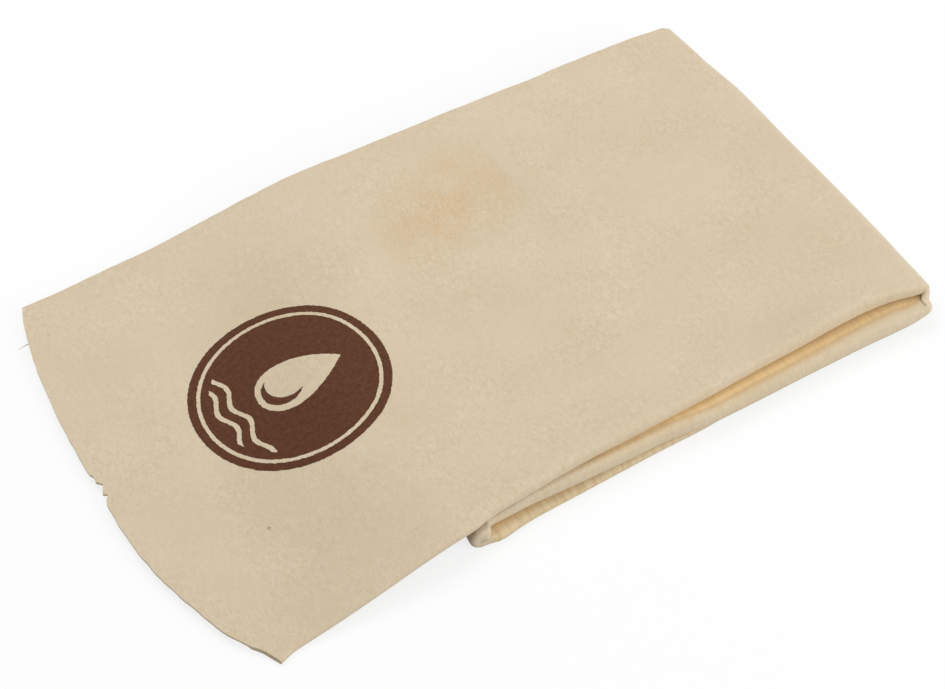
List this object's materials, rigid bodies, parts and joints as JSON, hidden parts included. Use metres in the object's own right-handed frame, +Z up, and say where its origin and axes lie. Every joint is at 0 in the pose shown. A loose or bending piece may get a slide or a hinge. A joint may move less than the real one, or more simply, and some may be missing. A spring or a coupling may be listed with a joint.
{
  "type": "chamois leather",
  "caption": "Napped chamois cleaning leather folded into a flat packet: doubled lengthwise, folded across itself like a Z, its loose raw end hanging to the table. The folds open.",
  "frame": {"origin": "on the table, under the middle of the folded packet's outline", "axes": "+X along the packet towards its right cross fold, +Y from the rolled front edge towards the raw back edges, +Z up"},
  "size_m": [0.314, 0.1914, 0.0128],
  "materials": {
    "chamois": "matt, napped on both faces"
  },
  "bodies": {
    "bottom": {"bottom_lower_layer": "chamois", "bottom_upper_layer": "chamois", "bottom_front_roll": "chamois", "left_fold_inner": "chamois", "left_fold_outer": "chamois", "left_fold_corner": "chamois"},
    "middle": {"middle_lower_layer": "chamois", "middle_upper_layer": "chamois", "middle_front_roll": "chamois", "right_fold_inner": "chamois", "right_fold_outer": "chamois", "right_fold_corner": "chamois"},
    "top": {"top_lower_layer": "chamois", "top_upper_layer": "chamois", "top_front_roll": "chamois"},
    "loose_end": {"loose_end_lower_layer": "chamois", "loose_end_upper_layer": "chamois", "loose_end_front_roll": "chamois"}
  },
  "joints": [
    {"name": "left_fold", "type": "hinge", "parent": "bottom", "child": "middle", "pos_m": [-0.05102, 0, 0.004], "axis": [0, -1, 0], "range_deg": [0, 150], "deforming": ["left_fold_inner", "left_fold_outer", "left_fold_corner"]},
    {"name": "right_fold", "type": "hinge", "parent": "middle", "child": "top", "pos_m": [0.15298, 0, 0.0088], "axis": [0, 1, 0], "range_deg": [0, 180], "deforming": ["right_fold_inner", "right_fold_outer", "right_fold_corner"]},
    {"name": "end_lift", "type": "hinge", "parent": "top", "child": "loose_end", "pos_m": [-0.05867, 0, 0.0128], "axis": [0, 1, 0], "range_deg": [0, 150]}
  ]
}
